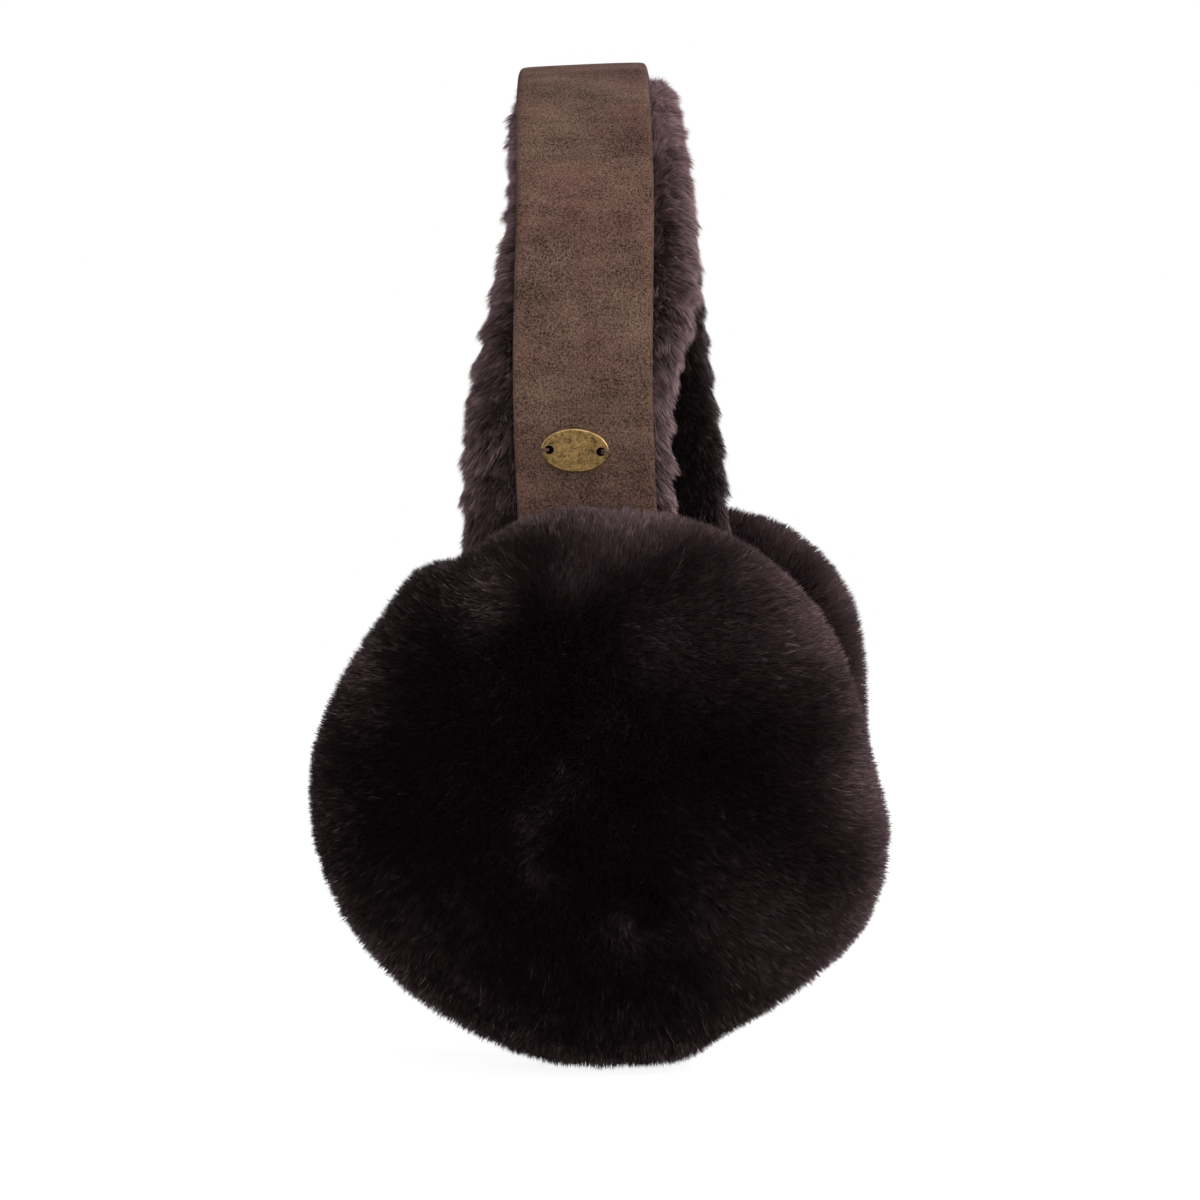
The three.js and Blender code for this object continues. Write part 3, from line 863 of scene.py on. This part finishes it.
class EARMUFFS_OT_tag(bpy.types.Operator):
    """Lay the brass tag on the strap and stitch it down"""

    bl_idname = "earmuffs.tag"
    bl_label = "Brass tag"

    def execute(self, context):
        sizes = context.scene.earmuff_tag
        place = self.tag_place()
        self.make_plate(place, sizes)
        thread = thread_material(sizes.thread)
        # The skin's near-black paints the shadow in the stitch holes
        hole_shade_material = skin_material("pile_skin", context.scene.earmuff_pile.root)
        for name, side in (("front", -1), ("back", 1)):
            self.make_stitch(f"{name}_stitch", side, place, sizes, thread)
            self.shade_stitch_hole(f"{name}_punched_hole", side, place, sizes, hole_shade_material)
        return {"FINISHED"}

    def tag_place(self):
        """The tag's own axes as a matrix: its length, its height and its thickness outwards. The
        origin is in the middle of its underside."""
        shape = merged_copy("brass_tag")
        points = np.array([vertex.co for vertex in shape.verts])
        shape.free()
        axes = np.linalg.eigh(np.cov((points - points.mean(axis=0)).T))[1]
        out = Vector(axes[:, 0] * np.sign(axes[0, 0]))
        long = Vector(axes[:, 2] * np.sign(axes[1, 2]))
        high = out.cross(long)
        turned = Matrix((long, high, out)).transposed()
        local = points @ np.array(turned)
        middle = (local.min(axis=0) + local.max(axis=0)) / 2
        middle[2] = local[:, 2].min()
        return Matrix.Translation(turned @ Vector(middle)) @ turned.to_4x4()

    def make_plate(self, place, sizes):
        """An oval plate with a bevelled rim and two round holes."""
        shape = bmesh.new()
        bmesh.ops.create_circle(shape, cap_ends=True, segments=72, radius=0.5)
        bmesh.ops.scale(shape, vec=(sizes.tag_length, sizes.tag_height, 1), verts=shape.verts)
        raised = bmesh.ops.extrude_face_region(shape, geom=shape.faces[:])
        top = [item for item in raised["geom"] if isinstance(item, bmesh.types.BMVert)]
        bmesh.ops.translate(shape, vec=(0, 0, sizes.tag_thickness), verts=top)
        bmesh.ops.recalc_face_normals(shape, faces=shape.faces)
        half_way = sizes.tag_thickness / 2
        rim = [edge for edge in shape.edges if all(vertex.co.z > half_way for vertex in edge.verts)]
        bevel = {"offset": 0.32 * MM, "segments": 4, "profile": 0.5, "affect": "EDGES", "material": -1}
        bmesh.ops.bevel(shape, geom=rim, **bevel)
        bmesh.ops.transform(shape, matrix=place, verts=shape.verts)
        face_brass = brass_material("aged_brass", sizes.brass, sizes.patina, bright_at=0.76)
        rim_brass = brass_material("rubbed_brass", sizes.rim, sizes.brass, bright_at=0.65)
        name = "oval_tag"
        plate = add_piece(name, to_mesh(shape, name), face_brass, replaced=("brass_tag",))
        plate.data.materials.append(rim_brass)
        self.drill_holes(plate, place, sizes)
        outward = place.to_3x3().col[2]
        flat_enough = 0.98
        for face in plate.data.polygons:
            flat = abs(face.normal.dot(outward)) > flat_enough
            face.use_smooth = not flat
            face.material_index = 0 if flat else 1

    def cylinder(self, shape, place, radius, depth, segments):
        """Adds a closed cylinder to a shape."""
        bmesh.ops.create_cone(
            shape,
            cap_ends=True,
            segments=segments,
            radius1=radius,
            radius2=radius,
            depth=depth,
            matrix=place,
        )

    def drill_holes(self, plate, place, sizes):
        """Cuts the two round holes through the plate."""
        drill = bmesh.new()
        for side in (-1, 1):
            hole = Matrix.Translation((side * sizes.hole_spacing / 2, 0, 0))
            self.cylinder(drill, place @ hole, sizes.hole_width / 2, depth=6 * MM, segments=28)
        cutter = bpy.data.objects.new("drill", to_mesh(drill, "drill"))
        bpy.context.collection.objects.link(cutter)
        cut = plate.modifiers.new("holes", "BOOLEAN")
        cut.object = cutter
        cut.solver = "EXACT"
        finish_modifiers(plate)
        bpy.data.objects.remove(cutter)

    def shade_stitch_hole(self, name, side, place, sizes, dark):
        """A dark disc, painted shadow in the hole that the thread goes down into under the plate. It is
        wider than the plate's hole."""
        shape = bmesh.new()
        sunk = -0.1 * MM
        under = Matrix.Translation((side * sizes.hole_spacing / 2, 0, sunk))
        self.cylinder(shape, place @ under, 0.6 * sizes.hole_width, depth=0.6 * MM, segments=24)
        add_piece(name, to_mesh(shape, name), dark)

    def make_stitch(self, name, side, place, sizes, thread):
        """Two loops of thread through one hole and over the plate's end."""
        shape = bmesh.new()
        slack = 0.1 * MM
        past_end = 0.15 * MM
        ply_offset = 0.2 * MM
        reach = sizes.tag_length / 2 - sizes.hole_spacing / 2 + slack
        across = sizes.hole_spacing / 2 + reach / 2 + past_end
        for ply, lean in ((-1, 7), (1, -4)):
            beside = Matrix.Translation((reach / 2, 0, 0))
            ring = bmesh.ops.create_circle(
                shape, cap_ends=False, segments=9, radius=sizes.thread_radius, matrix=beside
            )["verts"]
            edges = list({edge for vertex in ring for edge in vertex.link_edges})
            bmesh.ops.spin(
                shape,
                geom=ring + edges,
                cent=(0, 0, 0),
                axis=(0, 1, 0),
                angle=math.tau,
                steps=28,
                use_merge=True,
            )
            loop = list({vertex for vertex in shape.verts if not vertex.tag})
            middle = (side * across, ply * ply_offset, 0.55 * sizes.tag_thickness)
            turn = Matrix.Translation(middle) @ Matrix.Rotation(math.radians(lean), 4, "Z")
            bmesh.ops.transform(shape, matrix=place @ turn, verts=loop)
            for vertex in loop:
                vertex.tag = True
        bmesh.ops.remove_doubles(shape, verts=shape.verts, dist=MERGE_DISTANCE)
        bmesh.ops.recalc_face_normals(shape, faces=shape.faces)
        add_piece(name, to_mesh(shape, name), thread)


class EARMUFFS_OT_stage(bpy.types.Operator):
    """Lay the floor and set the lights and the camera"""

    bl_idname = "earmuffs.stage"
    bl_label = "Studio"

    def execute(self, context):
        stage = context.scene.earmuff_stage
        self.lay_floor(stage.floor_glow)
        self.light_world(context.scene, stage.surround)
        for light in LIGHTS:
            power = getattr(stage, light["name"])
            self.soft_light(light["name"], Vector(light["place"]), light["size"], power)
        self.set_camera(context.scene, stage)
        context.scene.view_settings.view_transform = "Standard"
        return {"FINISHED"}

    def lay_floor(self, glow):
        """A plain pale floor that looks as white as the surround."""
        shape = bmesh.new()
        bmesh.ops.create_circle(shape, cap_ends=True, segments=64, radius=FLOOR_RADIUS)
        floor = bpy.data.objects.new("floor", to_mesh(shape, "floor"))
        bpy.context.collection.objects.link(floor)
        material, nodes, links, shader = new_material("pale_floor")
        seen = nodes.new("ShaderNodeLightPath").outputs["Is Camera Ray"]
        links.new(calculated(nodes, links, "MULTIPLY", seen, glow), shader.inputs["Emission Strength"])
        grey = plain((FLOOR_GREY, FLOOR_GREY, FLOOR_GREY))
        set_constants(shader, {"Emission Color": plain((1, 1, 1)), "Base Color": grey})
        set_constants(shader, {"Roughness": 1, "Specular IOR Level": 0})
        floor.data.materials.append(material)

    def light_world(self, scene, surround):
        """A white surround that lights the earmuffs gently."""
        world = bpy.data.worlds.new("studio")
        world.use_nodes = True
        scene.world = world
        nodes, links = world.node_tree.nodes, world.node_tree.links
        seen = nodes.new("ShaderNodeLightPath")
        strength = nodes.new("ShaderNodeMapRange")
        set_constants(strength, {"To Min": surround, "To Max": 1})
        links.new(seen.outputs["Is Camera Ray"], strength.inputs["Value"])
        set_constants(nodes["Background"], {"Color": plain((1, 1, 1))})
        links.new(strength.outputs["Result"], nodes["Background"].inputs["Strength"])

    def soft_light(self, name, place, size, power):
        """A square soft light that faces the earmuffs."""
        data = bpy.data.lights.new(name, "AREA")
        data.shape = "SQUARE"
        data.size = size
        data.energy = power
        light = bpy.data.objects.new(name, data)
        light.location = place
        light.rotation_mode = "QUATERNION"
        light.rotation_quaternion = (CAMERA_TARGET - place).to_track_quat("-Z", "Y")
        bpy.context.collection.objects.link(light)

    def set_camera(self, scene, stage):
        """The photograph's viewpoint."""
        data = bpy.data.cameras.new("camera")
        data.sensor_width = SENSOR
        data.lens = PHOTO_FOCAL_PIXELS / PHOTO_PIXELS * SENSOR
        camera = bpy.data.objects.new("camera", data)
        bpy.context.collection.objects.link(camera)
        around = Matrix.Rotation(stage.azimuth, 3, "Z") @ Matrix.Rotation(-stage.elevation, 3, "X")
        back = around @ Vector((0, -1, 0))
        camera.location = CAMERA_TARGET + back * stage.distance
        camera.rotation_mode = "QUATERNION"
        camera.rotation_quaternion = (-back).to_track_quat("-Z", "Y")
        scene.camera = camera


class EARMUFFS_PT_panel(bpy.types.Panel):
    """Lists the earmuffs' pieces and settings"""

    bl_label = "Earmuffs"
    bl_idname = "EARMUFFS_PT_panel"
    bl_space_type = "VIEW_3D"
    bl_region_type = "UI"
    bl_category = "Earmuffs"

    def draw(self, context):
        for operator, settings in STEPS:
            column = self.layout.column(align=True)
            column.operator(operator.bl_idname)
            group = getattr(context.scene, settings)
            for name in group.bl_rna.properties.keys():
                if name not in ("rna_type", "name"):
                    column.prop(group, name)


STEPS = (
    (EARMUFFS_OT_stage, "earmuff_stage"),
    (EARMUFFS_OT_strap, "earmuff_strap"),
    (EARMUFFS_OT_lining, "earmuff_pile"),
    (EARMUFFS_OT_pads, "earmuff_pile"),
    (EARMUFFS_OT_tag, "earmuff_tag"),
)
SETTINGS = {
    "earmuff_pile": PileSettings,
    "earmuff_strap": StrapSettings,
    "earmuff_tag": TagSettings,
    "earmuff_stage": StageSettings,
}


def register():
    """Adds the settings, the operators and the panel."""
    for name, group in SETTINGS.items():
        bpy.utils.register_class(group)
        setattr(bpy.types.Scene, name, bpy.props.PointerProperty(type=group))
    for operator, _ in STEPS:
        bpy.utils.register_class(operator)
    bpy.utils.register_class(EARMUFFS_PT_panel)


def unregister():
    """Takes away what register added."""
    bpy.utils.unregister_class(EARMUFFS_PT_panel)
    for operator, _ in STEPS:
        bpy.utils.unregister_class(operator)
    for name, group in SETTINGS.items():
        delattr(bpy.types.Scene, name)
        bpy.utils.unregister_class(group)


def main():
    """Makes the whole scene."""
    register()
    for operator, _ in STEPS:
        category, name = operator.bl_idname.split(".")
        getattr(getattr(bpy.ops, category), name)()


if __name__ == "__main__":
    main()
